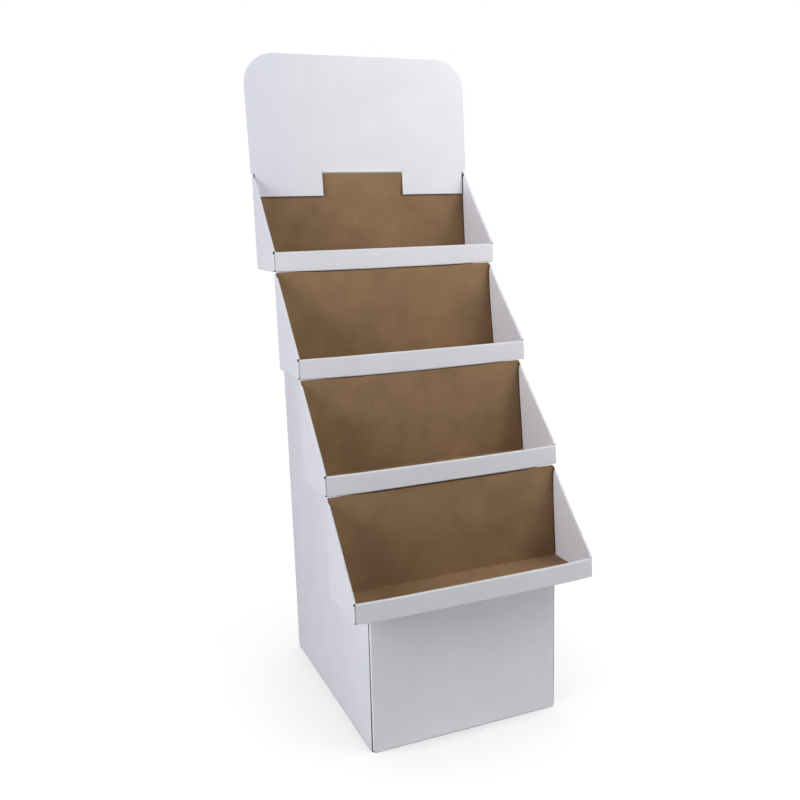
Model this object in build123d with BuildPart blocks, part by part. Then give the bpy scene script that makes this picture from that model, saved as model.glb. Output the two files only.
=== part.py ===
# Cardboard display stand: four folded trays on a stepped body, with a header card
from math import cos, hypot, radians, sin
import os

from build123d import *

os.makedirs("parts", exist_ok=True)

# Board, and how folds and seats are made in it
board = 2.5
fold_inside = 1.0
seat_gap = 0.3
overrun = 5.0

# Trays
tray_width = 640.0
tray_depth = 176.0
tray_height = 252.0
tray_stack_gap = 3.5
tray_step_lap = 2.4
bottom_tray_height = 384.4

# Front lip of a tray, rolled over the corner flaps
lip_height = 50.5
lip_thickness = 9.0
lip_end_inset = 4.0
lip_tab_length = 44.0
lip_tab_spacing = 210.0
corner_flap_length = 60.0
corner_flap_drop = 4.5
corner_flap_foot = 0.5

# Side walls of a tray, rolled over their sloping edge
side_hollow = 1.0
side_slope_foot = 53.0
side_beak_setback = 1.0
side_beak_gap = 0.5
side_tip_length = 6.0
side_roll_share = 0.48
inner_side_standoff = 4.5
inner_side_corner_height = 24.0
inner_side_corner_depth = 8.0
side_tab_length = 32.0
side_tab_spacing = 76.0
tab_slot_gap = 0.4

# Glue flaps behind a tray's back panel
glue_flap_length = 36.0
glue_flap_taper = 14.0
glue_flap_relief = 4.0

# Body
body_width = 516.0
body_behind_tray = 12.5
base_front_setback = 74.8
side_edge_setback = 0.5
flange_depth = 34.0
flange_end_gap = 6.0
bottom_flap_depth = 60.0
shelf_lap = 24.0
divider_slot_gap = 0.5

# Header card
header_rise = 311.0
header_corner = 83.0
header_lean = 4.0
leg_width = 190.0
leg_length = 60.0
leg_side_gap = 4.0
tab_bend_height = 14.0
tab_bend_foot = 3.5
tab_length = 70.0
slit_width = 0.8

# Sizes of the folds
fold_outside = fold_inside + board
fold_middle = fold_inside + board / 2
tray_half = tray_width / 2
body_half = body_width / 2
side_thickness = 2 * board + side_hollow
tray_rise = tray_height + tray_stack_gap
tray_run = tray_depth - tray_step_lap

# Levels and planes of the trays, from the back of the top tray
tray_names = ["tray_top", "tray_upper", "tray_lower", "tray_bottom"]
last_tray = len(tray_names) - 1
tray_levels = [bottom_tray_height + (last_tray - k) * tray_rise for k in range(last_tray + 1)]
back_panel_back = -(board + seat_gap)
back_panel_front = back_panel_back - board
leg_back = back_panel_front - seat_gap
header_back = leg_back + header_rise * sin(radians(header_lean))
stand_front = -last_tray * tray_run - tray_depth
stand_back = max(header_back, body_behind_tray)

# The origin is on the floor at the middle of the footprint, so the top tray's back is at this place
top_back = -(stand_front + stand_back) / 2
tray_backs = [top_back - k * tray_run for k in range(last_tray + 1)]


def box_between(low, high, mode=Mode.ADD):
    """A block from its low corner to its high corner, for use in a part."""
    middle = tuple((a + b) / 2 for a, b in zip(low, high))
    size = [b - a for a, b in zip(low, high)]
    with Locations(middle):
        Box(*size, mode=mode)


def folded_strip(plane, points, length, both=False):
    """A strip of board that follows its folds through the points, for use in a part."""
    with BuildSketch(plane) as section:
        with BuildLine():
            FilletPolyline(*points, radius=fold_middle)
        trace(line_width=board)
    extrude(section.sketch, amount=length, both=both)


def flat_piece(plane, points, thickness, mode=Mode.ADD):
    """A flat piece of board with a straight-sided outline, for use in a part."""
    with BuildSketch(plane) as outline:
        with BuildLine():
            Polyline(*points, close=True)
        make_face()
    extrude(outline.sketch, amount=thickness, mode=mode)


# A tray, from its back plane and the underside of its floor
front = -tray_depth
lip_back = front + lip_thickness
lip_half = tray_half - lip_end_inset
flap_front = front + board + seat_gap
flap_foot = fold_outside + corner_flap_foot
side_front = flap_front + fold_outside
floor_back = back_panel_back - fold_outside
beak_front = front + side_beak_setback
beak_level = lip_height + side_beak_gap
inner_side_outside = tray_half - board - side_hollow
inner_side_inside = tray_half - side_thickness
inner_side_back = back_panel_front - inner_side_standoff
slope_rise = (tray_height - side_slope_foot) / (-side_tip_length - beak_front)
slope_drop = board * hypot(1, slope_rise)

with BuildPart() as tray_side:
    # Double wall, rounded over along the slope
    flat_piece(
        Plane.YZ.offset(inner_side_inside),
        [
            (side_front, fold_outside),
            (side_front, beak_level),
            (beak_front, beak_level),
            (beak_front, side_slope_foot),
            (-side_tip_length, tray_height),
            (-fold_outside, tray_height),
            (-fold_outside, fold_outside),
        ],
        side_thickness,
    )
    slopes = [e for e in tray_side.edges() if abs(e.tangent_at(0).X) + abs(e.tangent_at(0).Y * e.tangent_at(0).Z) > 0]
    slopes = [e for e in slopes if abs(e.tangent_at(0).X) < abs(e.tangent_at(0).Y)]
    fillet(slopes, radius=side_thickness * side_roll_share)

    # Hollow between the two walls
    flat_piece(
        Plane.YZ.offset(inner_side_outside),
        [
            (front - overrun, -overrun),
            (front - overrun, side_slope_foot - slope_drop - slope_rise * (overrun + side_beak_setback)),
            (overrun, tray_height - slope_drop + slope_rise * (overrun + side_tip_length)),
            (overrun, -overrun),
        ],
        side_hollow,
        mode=Mode.SUBTRACT,
    )

    # The inner wall stops behind the lip, and short of the back panel
    box_between(
        (inner_side_inside - overrun, front, 0),
        (inner_side_outside, lip_back + seat_gap, beak_level),
        mode=Mode.SUBTRACT,
    )
    flat_piece(
        Plane.YZ.offset(inner_side_inside - overrun),
        [
            (inner_side_back, 0),
            (inner_side_back, tray_height - inner_side_corner_height),
            (inner_side_back - inner_side_corner_depth, tray_height + overrun),
            (overrun, tray_height + overrun),
            (overrun, 0),
        ],
        side_thickness - board + overrun,
        mode=Mode.SUBTRACT,
    )

    # Fold up from the floor
    folded_strip(
        Plane.XZ.offset(-floor_back),
        [
            (tray_half - fold_outside - board, board / 2),
            (tray_half - board / 2, board / 2),
            (tray_half - board / 2, fold_outside + board),
        ],
        floor_back - side_front,
    )

    # Corner flap that turns in behind the lip
    folded_strip(
        Plane.XY.offset(flap_foot),
        [
            (tray_half - board / 2, side_front + board),
            (tray_half - board / 2, flap_front + board / 2),
            (tray_half - corner_flap_length, flap_front + board / 2),
        ],
        lip_height - corner_flap_drop - flap_foot,
    )

    # Glue flap that turns in behind the back panel
    folded_strip(
        Plane.XY.offset(fold_outside + glue_flap_relief),
        [
            (tray_half - board / 2, -fold_outside - board),
            (tray_half - board / 2, -board / 2),
            (tray_half - fold_outside - board, -board / 2),
        ],
        tray_height - fold_outside - 2 * glue_flap_relief,
    )
    flat_piece(
        Plane.XZ,
        [
            (tray_half - fold_outside, fold_outside + glue_flap_relief),
            (tray_half - fold_outside - glue_flap_length, fold_outside + glue_flap_relief + glue_flap_taper),
            (tray_half - fold_outside - glue_flap_length, tray_height - glue_flap_relief - glue_flap_taper),
            (tray_half - fold_outside, tray_height - glue_flap_relief),
        ],
        board,
    )

with BuildPart() as tray:
    # Rolled lip, floor and back panel, one strip of board
    folded_strip(
        Plane.YZ,
        [
            (lip_back - board / 2, board + seat_gap),
            (lip_back - board / 2, lip_height - board / 2),
            (front + board / 2, lip_height - board / 2),
            (front + board / 2, board / 2),
            (lip_back + board, board / 2),
        ],
        lip_half,
        both=True,
    )
    folded_strip(
        Plane.YZ,
        [
            (side_front, board / 2),
            (back_panel_back - board / 2, board / 2),
            (back_panel_back - board / 2, tray_height),
        ],
        tray_half - fold_outside,
        both=True,
    )
    add(tray_side.part)
    mirror(tray_side.part, about=Plane.YZ)

    # Slots in the floor, and the tabs of the lip and of the inner walls in them
    for x in (-lip_tab_spacing, 0, lip_tab_spacing):
        reach = lip_tab_length / 2
        box_between(
            (x - reach - tab_slot_gap, lip_back - board - tab_slot_gap, -overrun),
            (x + reach + tab_slot_gap, lip_back + tab_slot_gap, board),
            mode=Mode.SUBTRACT,
        )
        box_between((x - reach, lip_back - board, 0), (x + reach, lip_back, fold_outside))
    for side in (-1, 1):
        for y in (front / 2 - side_tab_spacing / 2, front / 2 + side_tab_spacing / 2):
            reach = side_tab_length / 2
            walls = sorted((side * inner_side_inside, side * inner_side_outside))
            box_between(
                (walls[0] - tab_slot_gap, y - reach - tab_slot_gap, -overrun),
                (walls[1] + tab_slot_gap, y + reach + tab_slot_gap, fold_outside),
                mode=Mode.SUBTRACT,
            )
            box_between((walls[0], y - reach, 0), (walls[1], y + reach, fold_outside + board))

for name, back, level in zip(tray_names, tray_backs, tray_levels):
    placed_tray = tray.part.moved(Location((0, back, level)))
    placed_tray.label = name
    export_step(placed_tray, f"parts/{name}.step")

# Places that the body's pieces share
shelf_tops = [level - seat_gap for level in tray_levels]
riser_fronts = [back + seat_gap for back in tray_backs[1:]]
shell_back = top_back + body_behind_tray
base_front = top_back + stand_front + base_front_setback
base_side_front = base_front + side_edge_setback
flange_half = body_half - board - seat_gap
pad_top = 2 * board + seat_gap
divider_foot = pad_top + seat_gap

# Body shell: left side, back and right side, with flaps under the foot
stair = [(shell_back - fold_outside, fold_outside), (shell_back - fold_outside, shelf_tops[0])]
for riser, upper, lower in zip(riser_fronts, shelf_tops, shelf_tops[1:]):
    stair += [(riser, upper), (riser, lower)]
stair += [(base_side_front, shelf_tops[-1]), (base_side_front, fold_outside)]
side_flap_front = base_front + fold_outside + flange_end_gap
flap_taper = bottom_flap_depth - fold_outside

with BuildPart() as body_side:
    flat_piece(Plane.YZ.offset(body_half - board), stair, board)
    folded_strip(
        Plane.XY.offset(fold_outside),
        [
            (body_half - board / 2, shell_back - fold_outside - board),
            (body_half - board / 2, shell_back - board / 2),
            (body_half - fold_outside - board, shell_back - board / 2),
        ],
        shelf_tops[0] - fold_outside,
    )
    folded_strip(
        Plane.XZ.offset(-(shell_back - fold_outside)),
        [
            (body_half - board / 2, fold_outside + board),
            (body_half - board / 2, board / 2),
            (body_half - fold_outside - board, board / 2),
        ],
        shell_back - fold_outside - side_flap_front,
    )
    flat_piece(
        Plane.XY,
        [
            (body_half - fold_outside, side_flap_front),
            (body_half - fold_outside, shell_back - fold_outside),
            (body_half - bottom_flap_depth, shell_back - fold_outside - flap_taper),
            (body_half - bottom_flap_depth, side_flap_front + flap_taper),
        ],
        board,
    )

with BuildPart() as body_shell:
    add(body_side.part)
    mirror(body_side.part, about=Plane.YZ)
    folded_strip(
        Plane.YZ,
        [
            (shell_back - board / 2, shelf_tops[0]),
            (shell_back - board / 2, board / 2),
            (shell_back - fold_outside - board, board / 2),
        ],
        body_half - fold_outside,
        both=True,
    )
    flat_piece(
        Plane.XY,
        [
            (body_half - fold_outside - flange_end_gap, shell_back - fold_outside),
            (body_half - bottom_flap_depth - flange_end_gap, shell_back - bottom_flap_depth),
            (bottom_flap_depth + flange_end_gap - body_half, shell_back - bottom_flap_depth),
            (fold_outside + flange_end_gap - body_half, shell_back - fold_outside),
        ],
        board,
    )

body_shell.part.label = "body_shell"
export_step(body_shell.part, "parts/body_shell.step")


def folded_step(face, foot, top, shelf_back):
    """An upright and the shelf behind its top, with flanges folded in at both sides."""
    half = flange_half - fold_outside
    folded_strip(
        Plane.YZ,
        [(face + board / 2, foot), (face + board / 2, top - board / 2), (shelf_back, top - board / 2)],
        half,
        both=True,
    )
    for side in (-1, 1):
        folded_strip(
            Plane.XY.offset(foot + flange_end_gap),
            [
                (side * (half - board), face + board / 2),
                (side * (flange_half - board / 2), face + board / 2),
                (side * (flange_half - board / 2), face + flange_depth),
            ],
            top - foot - 2 * flange_end_gap,
        )
        flange_front = face + flange_depth + flange_end_gap
        flange_back = shelf_back - flange_end_gap
        folded_strip(
            Plane.XZ.offset(-flange_back),
            [
                (side * (half - board), top - board / 2),
                (side * (flange_half - board / 2), top - board / 2),
                (side * (flange_half - board / 2), top - flange_depth),
            ],
            flange_back - flange_front,
        )


# Front panel of the base, with the bottom tray's shelf and a flap under its foot
with BuildPart() as front_panel:
    folded_step(base_front, fold_outside, shelf_tops[-1], riser_fronts[-1] + shelf_lap)
    folded_strip(
        Plane.YZ,
        [
            (base_front + board / 2, fold_outside + board),
            (base_front + board / 2, board / 2),
            (base_front + fold_outside + board, board / 2),
        ],
        flange_half - fold_outside,
        both=True,
    )
    flat_piece(
        Plane.XY,
        [
            (flange_half - fold_outside, base_front + fold_outside),
            (flange_half - bottom_flap_depth, base_front + bottom_flap_depth),
            (bottom_flap_depth - flange_half, base_front + bottom_flap_depth),
            (fold_outside - flange_half, base_front + fold_outside),
        ],
        board,
    )

front_panel.part.label = "front_panel"
export_step(front_panel.part, "parts/front_panel.step")

# Risers: each stands on the tail of the shelf below it
riser_names = ["riser_upper", "riser_middle", "riser_lower"]
shelf_backs = [shell_back - board - seat_gap] + [riser + shelf_lap for riser in riser_fronts]
for k, name in enumerate(riser_names):
    with BuildPart() as riser_step:
        folded_step(riser_fronts[k], shelf_tops[k + 1] + seat_gap, shelf_tops[k], shelf_backs[k])
    riser_step.part.label = name
    export_step(riser_step.part, f"parts/{name}.step")

# Centre divider: stepped board under the middle of every shelf, slotted for the shelf tails and cross dividers
divider_tops = [top - board - seat_gap for top in shelf_tops]
stair_inside = [(shell_back - board - seat_gap, divider_foot), (shell_back - board - seat_gap, divider_tops[0])]
for riser, upper, lower in zip(riser_fronts, divider_tops, divider_tops[1:]):
    stair_inside += [(riser + board + seat_gap, upper), (riser + board + seat_gap, lower)]
stair_inside += [(base_front + board + seat_gap, divider_tops[-1]), (base_front + board + seat_gap, divider_foot)]
slot_tops = [(divider_foot + top) / 2 for top in divider_tops[1:]]

with BuildPart() as centre_divider:
    flat_piece(Plane.YZ.offset(-board / 2), stair_inside, board)
    fillet(centre_divider.edges().filter_by(Axis.X), radius=fold_outside)
    for riser, shelf_top, slot_top in zip(riser_fronts, shelf_tops[1:], slot_tops):
        box_between(
            (-board, riser, shelf_top - board - seat_gap),
            (board, riser + shelf_lap + seat_gap, shelf_top + seat_gap),
            mode=Mode.SUBTRACT,
        )
        box_between(
            (-board, riser - divider_slot_gap, divider_foot - overrun),
            (board, riser + board + divider_slot_gap, slot_top + divider_slot_gap),
            mode=Mode.SUBTRACT,
        )

centre_divider.part.label = "centre_divider"
export_step(centre_divider.part, "parts/centre_divider.step")

# Cross dividers: one under the foot of each riser
cross_names = ["cross_divider_rear", "cross_divider_middle", "cross_divider_front"]
cross_half = flange_half - board - seat_gap
for k, name in enumerate(cross_names):
    with BuildPart() as cross_divider:
        box_between(
            (-cross_half, riser_fronts[k], divider_foot),
            (cross_half, riser_fronts[k] + board, divider_tops[k + 1]),
        )
        fillet(cross_divider.edges().filter_by(Axis.Y), radius=fold_outside)
        box_between(
            (-board / 2 - divider_slot_gap, riser_fronts[k] - overrun, slot_tops[k]),
            (board / 2 + divider_slot_gap, riser_fronts[k] + board + overrun, divider_tops[k + 1] + overrun),
            mode=Mode.SUBTRACT,
        )
    cross_divider.part.label = name
    export_step(cross_divider.part, f"parts/{name}.step")

# Floor pad that keeps the base square, on the flaps under the foot
pad_half = body_half - fold_outside
with BuildPart() as floor_pad:
    box_between(
        (-pad_half, base_front + fold_outside, board + seat_gap),
        (pad_half, shell_back - fold_outside, pad_top),
    )

floor_pad.part.label = "floor_pad"
export_step(floor_pad.part, "parts/floor_pad.step")

# Header card: leans back, legs in front of the top tray's back panel and the middle tab behind it
tip_level = tray_levels[0] + tray_height
leg_outside = inner_side_inside - leg_side_gap
leg_inside = leg_outside - leg_width
lean = radians(header_lean)
up_card = (sin(lean), cos(lean))
middle_of_card = (top_back + leg_back - board / 2 * cos(lean), tip_level + board / 2 * sin(lean))
header_plane = Plane(origin=(0, top_back + leg_back, tip_level), x_dir=(1, 0, 0), z_dir=(0, -cos(lean), sin(lean)))


def along_card(height):
    """A point of the card's middle layer, across the stand and up."""
    return (middle_of_card[0] + height * up_card[0], middle_of_card[1] + height * up_card[1])


with BuildPart() as header_panel:
    with BuildSketch(header_plane):
        with Locations((0, seat_gap)):
            Rectangle(tray_width, header_rise - seat_gap, align=(Align.CENTER, Align.MIN))
        fillet(vertices().group_by(Axis.Y)[-1], radius=header_corner)
        for side in (-1, 1):
            with Locations((side * (leg_inside + leg_outside) / 2, -leg_length)):
                Rectangle(leg_width, leg_length + board, align=(Align.CENTER, Align.MIN))
        Rectangle(2 * leg_inside, 2 * tab_bend_height, mode=Mode.SUBTRACT)
    extrude(amount=board)
    folded_strip(
        Plane.YZ,
        [
            along_card(tab_bend_height + board),
            along_card(tab_bend_height),
            (top_back + back_panel_back + seat_gap + board / 2, tip_level + tab_bend_foot),
            (top_back + back_panel_back + seat_gap + board / 2, tip_level - tab_length),
        ],
        leg_inside - slit_width,
        both=True,
    )

header_panel.part.label = "header_panel"
export_step(header_panel.part, "parts/header_panel.step")
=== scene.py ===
"""Looks of a cardboard display stand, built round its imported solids.

The stand is four folded trays on a stepped body, with a header card on top. Each sheet of board is drawn
as its middle surface, folded by extruding and spinning its edges, and then given its thickness, with white
liner on one side, brown kraft on the other and a raw fluted rim. Sizes are in millimetres, in the frame of
the solids: X to the right, -Y to the front, Z up from the floor.
"""

import logging
from dataclasses import dataclass
from enum import Enum
from itertools import chain
from math import cos, hypot, radians, sin, tau
from typing import Callable

import bmesh
import bpy
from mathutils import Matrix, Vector


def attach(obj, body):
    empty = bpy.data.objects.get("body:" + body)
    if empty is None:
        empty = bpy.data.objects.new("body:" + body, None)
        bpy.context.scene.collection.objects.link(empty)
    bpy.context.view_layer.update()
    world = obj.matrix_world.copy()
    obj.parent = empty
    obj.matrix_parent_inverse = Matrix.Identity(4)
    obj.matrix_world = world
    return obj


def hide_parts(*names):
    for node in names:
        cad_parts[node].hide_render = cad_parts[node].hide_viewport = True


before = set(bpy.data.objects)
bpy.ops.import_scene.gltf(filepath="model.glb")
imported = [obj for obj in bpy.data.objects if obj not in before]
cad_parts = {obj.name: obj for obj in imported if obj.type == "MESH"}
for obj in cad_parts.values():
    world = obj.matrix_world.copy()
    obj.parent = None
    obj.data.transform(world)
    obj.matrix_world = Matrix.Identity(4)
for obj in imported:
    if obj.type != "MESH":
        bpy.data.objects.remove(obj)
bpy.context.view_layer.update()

log = logging.getLogger("display_stand")

MM = 0.001
Place = tuple[float, float, float]
Colour = tuple[float, float, float, float]
Test = Callable[[Vector], bool]
TrayTest = Callable[[float, float, float], bool]
Socket = bpy.types.NodeSocket

# Sizes that the sheets share, the same as the solids'
BOARD = 2.5
SEAT_GAP = 0.3
FOLD_RADIUS = 2.25
FOLD_REACH = 3.5
TRAY_DEPTH = 176.0
TRAY_HEIGHT = 252.0
RUN = 173.6
RISE = 255.5
BOTTOM_LEVEL = 384.4
TOP_BACK = 340.353
TOP_TIP = BOTTOM_LEVEL + 3 * RISE + TRAY_HEIGHT

# Half the width over which the top tray's back panel stands forward, between the header's legs
CROWN_HALF = 119.5


class Clear(Enum):
    """Which side of a cut is thrown away."""

    NOTHING = "nothing"
    AHEAD = "ahead"
    BEHIND = "behind"


class Flutes(Enum):
    """Which coordinate crosses the flutes on the faces that look along X; on all others it is X."""

    LEVEL_ON_SIDES = "Z"
    UPRIGHT_ON_SIDES = "Y"


def near(a: float, b: float, slack: float = 0.05) -> bool:
    """Says whether two lengths are the same but for rounding.

    Args:
        a: One length in millimetres.
        b: The other length.
        slack: The most that they may differ.

    Returns:
        True if they are the same.
    """
    return abs(a - b) < slack


def unit(value: float) -> float:
    """Holds a share between 0 and 1."""
    return min(max(value, 0.0), 1.0)


def crown_share(x: float) -> float:
    """Gives how far the top tray's back panel and the tab behind it stand forward, from 0 to 1."""
    return max(1.0 - abs(x / CROWN_HALF) ** 4, 0.0)


def metres(place: Place) -> Vector:
    """Turns a place or a vector in millimetres to metres."""
    return Vector(place) * MM


def toned(colour: tuple[float, ...], factor: float) -> Colour:
    """Makes a colour darker or paler by a factor."""
    return tuple(min(1.0, part * factor) for part in colour[:3]) + (1.0,)


class Sheet:
    """A sheet of board, drawn as its middle surface with the mesh in edit mode until it is thickened."""

    def __init__(self, name: str, low: Place, high: Place) -> None:
        """Starts the sheet as one flat panel that stands or lies along two of the axes.

        Args:
            name: Name of the piece.
            low: Low corner of the panel, in millimetres.
            high: High corner; it has one coordinate in common with the low corner.
        """
        size = [b - a for a, b in zip(low, high)]
        middle = [(a + b) / 2 for a, b in zip(low, high)]
        flat = size.index(0.0)
        turns = {0: (radians(90), 0.0, radians(90)), 1: (radians(90), 0.0, 0.0), 2: (0.0, 0.0, 0.0)}
        spans = {0: (size[1], size[2], 1.0), 1: (size[0], size[2], 1.0), 2: (size[0], size[1], 1.0)}
        bpy.ops.object.select_all(action="DESELECT")
        bpy.ops.mesh.primitive_plane_add(size=MM, location=metres(middle), rotation=turns[flat])
        self.piece = bpy.context.object
        self.piece.name = name
        self.piece.data.name = name
        self.piece.scale = spans[flat]
        bpy.ops.object.transform_apply(location=True, rotation=True, scale=True)
        bpy.ops.object.mode_set(mode="EDIT")
        self.shell_size = 0

    def _select(self, kind: str, test: Test) -> int:
        """Selects open edges or faces by place and nothing else.

        Args:
            kind: EDGE or FACE.
            test: Test on both ends of an edge, or on the middle of a face, in millimetres.

        Returns:
            How many are selected.
        """
        bpy.ops.mesh.select_mode(type=kind)
        grid = bmesh.from_edit_mesh(self.piece.data)
        for part in chain(grid.verts, grid.edges, grid.faces):
            part.select = False
        if kind == "EDGE":
            picked = [edge for edge in grid.edges
                      if edge.is_boundary and all(test(end.co / MM) for end in edge.verts)]
        else:
            picked = [face for face in grid.faces if test(face.calc_center_median() / MM)]
        for part in picked:
            part.select_set(True)
        bmesh.update_edit_mesh(self.piece.data)
        return len(picked)

    def pick_edge(self, test: Test) -> None:
        """Selects the open edges whose two ends pass the test.

        Args:
            test: Takes a corner's place in millimetres.
        """
        if not self._select("EDGE", test):
            raise ValueError(f"{self.piece.name} has no such edge")

    def grow(self, by: Place) -> None:
        """Extrudes the selected edges by a vector in millimetres and leaves the new edges selected."""
        bpy.ops.mesh.extrude_region_move(TRANSFORM_OT_translate={"value": metres(by)})

    def curl(self, centre: Place, axis: Place, turn: float, steps: int = 4) -> None:
        """Folds the board from the selected edges, round an axis.

        Args:
            centre: A point of the axis, in millimetres.
            axis: Direction of the axis.
            turn: Angle in degrees, positive by the right hand rule.
            steps: Number of faces round the fold.
        """
        bpy.ops.mesh.spin(steps=steps, angle=radians(-turn), center=metres(centre), axis=axis)

    def cut(self, at: Place, normal: Place, clear: Clear = Clear.NOTHING,
            within: Test | None = None) -> None:
        """Cuts faces along a plane, and may throw one side of them away.

        Args:
            at: A point of the plane, in millimetres.
            normal: The plane's normal, which points ahead.
            clear: The side to throw away.
            within: Test on a face's middle that picks the faces to cut; all of them if left out.
        """
        picked = within or (lambda middle: True)
        if self._select("FACE", picked):
            bpy.ops.mesh.bisect(plane_co=metres(at), plane_no=normal, threshold=1e-6)
        if clear is not Clear.NOTHING:
            way = Vector(normal) * (1.0 if clear is Clear.AHEAD else -1.0)
            self.remove(lambda middle: picked(middle) and (middle - Vector(at)).dot(way) > 0)

    def remove(self, test: Test) -> None:
        """Deletes the faces whose middle passes the test."""
        if self._select("FACE", test):
            bpy.ops.mesh.delete(type="FACE")

    def mirror(self) -> None:
        """Adds the left half as the mirror image of the right half, joined along the middle."""
        bpy.ops.object.mode_set(mode="OBJECT")
        other = self.piece.modifiers.new("left_half", "MIRROR")
        other.merge_threshold = 1e-5
        bpy.ops.object.modifier_apply(modifier=other.name)
        bpy.ops.object.mode_set(mode="EDIT")

    def divide(self, spacing: float) -> None:
        """Cuts the whole sheet into a grid, so that its panels can bow.

        Args:
            spacing: Width of the grid in millimetres.
        """
        for axis in range(3):
            grid = bmesh.from_edit_mesh(self.piece.data)
            places = [vert.co[axis] / MM for vert in grid.verts]
            low, high = min(places), max(places)
            count = int((high - low) / spacing)
            normal = tuple(float(k == axis) for k in range(3))
            for k in range(1, count + 1):
                level = low + (high - low) * k / (count + 1)
                self.cut(tuple(level * part for part in normal), normal)

    def face_out(self, test: Test, normal: Place) -> None:
        """Turns all faces the same way, with the white liner's side on the side of a given normal.

        Args:
            test: Picks the faces to judge by, from a face's middle.
            normal: Where the white liner looks on those faces.
        """
        bpy.ops.mesh.select_all(action="SELECT")
        bpy.ops.mesh.remove_doubles(threshold=2e-5)
        bpy.ops.mesh.normals_make_consistent(inside=False)
        grid = bmesh.from_edit_mesh(self.piece.data)
        grid.normal_update()
        judged = [face for face in grid.faces if test(face.calc_center_median() / MM)]
        if sum(face.normal.dot(Vector(normal)) * face.calc_area() for face in judged) < 0:
            bpy.ops.mesh.select_all(action="SELECT")
            bpy.ops.mesh.flip_normals()

    def bow(self, depth: float, width: float, seed: float, hold: Test | None = None) -> None:
        """Lets the panels stand a little off flat, as board does.

        Args:
            depth: How far the board swings in and out, in millimetres.
            width: Size of the swells, in millimetres.
            seed: Moves the pattern, so that no two sheets are alike.
            hold: Picks the corners that stay where they are.
        """
        bpy.ops.object.mode_set(mode="OBJECT")
        corners = self.piece.data.vertices
        kept = [(vert.index, vert.co.copy()) for vert in corners if hold and hold(vert.co / MM)]
        swell = bpy.data.textures.new(f"{self.piece.name}_swell", "CLOUDS")
        swell.noise_scale = width * MM
        swell.noise_depth = 1
        guide = bpy.data.objects.new(f"{self.piece.name}_guide", None)
        guide.location = (seed, seed * 0.7, seed * 1.3)
        bpy.context.scene.collection.objects.link(guide)
        bpy.context.view_layer.update()
        push = self.piece.modifiers.new("bow", "DISPLACE")
        push.texture = swell
        push.texture_coords = "OBJECT"
        push.texture_coords_object = guide
        push.strength = 2 * depth * MM
        push.mid_level = 0.5
        bpy.ops.object.modifier_apply(modifier=push.name)
        bpy.data.objects.remove(guide)
        bpy.data.textures.remove(swell)
        for index, place in kept:
            self.piece.data.vertices[index].co = place

    def reshape(self, move: Callable[[Vector], Vector]) -> None:
        """Moves each corner, out of edit mode, by a rule that takes and returns millimetres."""
        for vert in self.piece.data.vertices:
            vert.co = move(vert.co / MM) * MM

    def thicken(self) -> None:
        """Gives the board its thickness: liner, kraft and rim take the first three materials."""
        if self.piece.mode == "EDIT":
            bpy.ops.object.mode_set(mode="OBJECT")
        self.shell_size = len(self.piece.data.vertices)
        wall = self.piece.modifiers.new("board", "SOLIDIFY")
        wall.thickness = BOARD * MM
        wall.offset = 0.0
        wall.use_even_offset = True
        wall.material_offset = 1
        wall.material_offset_rim = 2

    def dress(self, finish: "BoardFinish") -> None:
        """Applies the thickness and gives the sheet its materials and the rim's coordinates.

        Args:
            finish: The three faces of the board.
        """
        for material in (finish.liner(), finish.kraft(), finish.rim()):
            self.piece.data.materials.append(material)
        bpy.context.view_layer.objects.active = self.piece
        bpy.ops.object.modifier_apply(modifier="board")
        self._draw_rim(finish.flutes, finish.pitch)
        bpy.ops.object.select_all(action="DESELECT")
        self.piece.select_set(True)
        bpy.ops.object.shade_smooth_by_angle(angle=radians(35))
        weigh = self.piece.modifiers.new("weigh", "WEIGHTED_NORMAL")
        weigh.keep_sharp = True
        bpy.ops.object.modifier_apply(modifier=weigh.name)

    def _draw_rim(self, flutes: Flutes, pitch: float) -> None:
        """Draws the rim's coordinates: along it in flutes where they are cut across, and from side to side.

        Args:
            flutes: How the flutes run.
            pitch: Width of one flute in millimetres.
        """
        mostly, partly = 0.7, 0.5
        mesh = self.piece.data
        rims = mesh.uv_layers.new(name="rim") if not mesh.uv_layers else mesh.uv_layers[0]
        rims.name = "rim"
        for face in mesh.polygons:
            if face.material_index != 2:
                continue
            corners = [mesh.vertices[k] for k in face.vertices]
            shell = [corner.co for corner in corners if corner.index < self.shell_size]
            along = (shell[-1] - shell[0]).normalized() if len(shell) > 1 else Vector((1, 0, 0))
            if max(along, key=abs) < 0:
                along.negate()
            sideways = abs(face.normal.x) > mostly
            level = flutes is Flutes.LEVEL_ON_SIDES
            wavy = abs(along.x) > mostly or (not sideways and abs(along.z) > partly and level)
            for loop in face.loop_indices:
                corner = mesh.vertices[mesh.loops[loop].vertex_index]
                across = 0.0 if corner.index < self.shell_size else 1.0
                run = corner.co.dot(along) / (pitch * MM) if wavy or sideways else 0.0
                rims.data[loop].uv = (run, across)


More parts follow.
